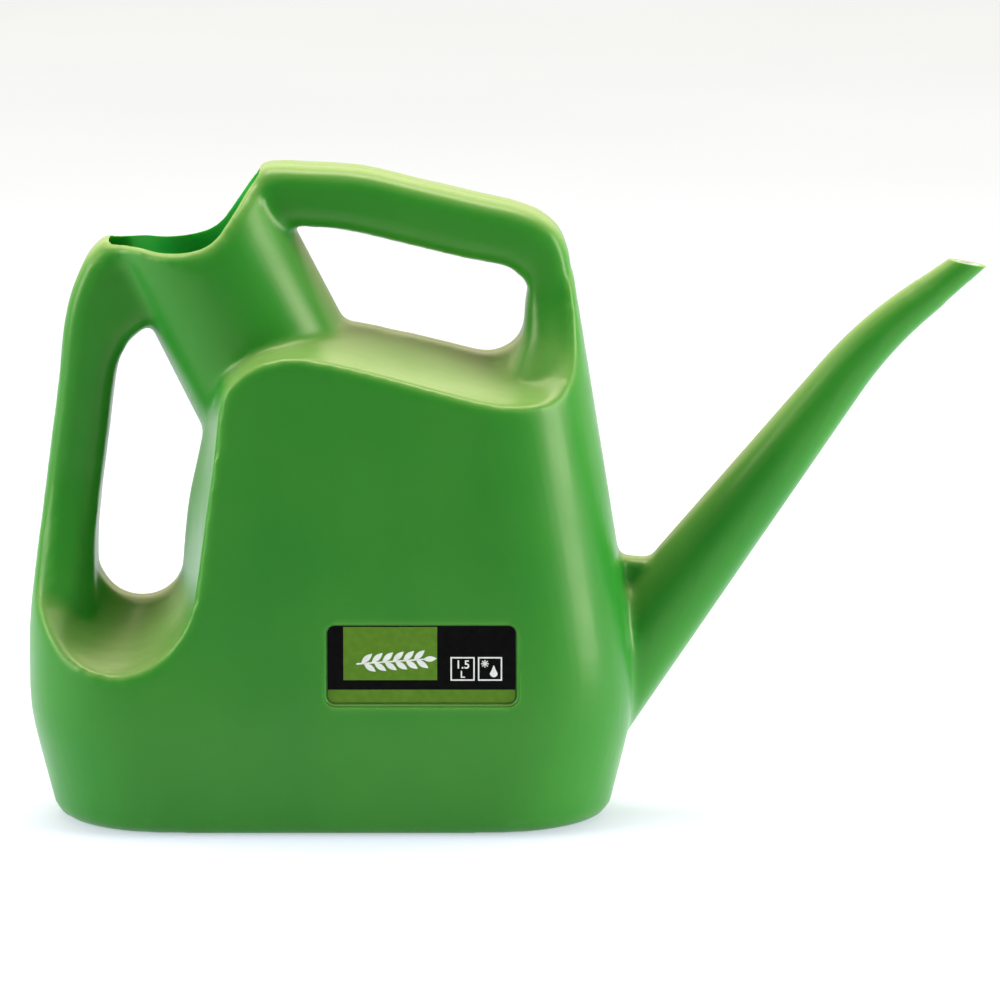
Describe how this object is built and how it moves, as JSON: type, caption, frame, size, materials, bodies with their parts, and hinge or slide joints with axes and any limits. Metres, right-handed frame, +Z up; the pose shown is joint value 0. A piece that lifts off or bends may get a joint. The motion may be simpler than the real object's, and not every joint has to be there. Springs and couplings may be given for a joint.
{
  "type": "watering can",
  "caption": "Small blow-moulded indoor watering can with a leaning saddle-mouthed neck, a rear and a top loop handle, and a long tapering bent spout.",
  "frame": {"origin": "middle of the tank's flat base, on the surface it stands on", "axes": "+X towards the spout, -Y towards the side that carries the label, +Z up"},
  "size_m": [0.2866, 0.0874, 0.1968],
  "materials": {
    "green_plastic": "satin blow-moulded polyethylene",
    "label_film": "printed glossy film"
  },
  "bodies": {
    "root": {"tank": "green_plastic", "filler_neck": "green_plastic", "rear_handle": "green_plastic", "top_handle": "green_plastic", "spout": "green_plastic", "spout_tip": "green_plastic", "front_label": "label_film"}
  },
  "joints": []
}
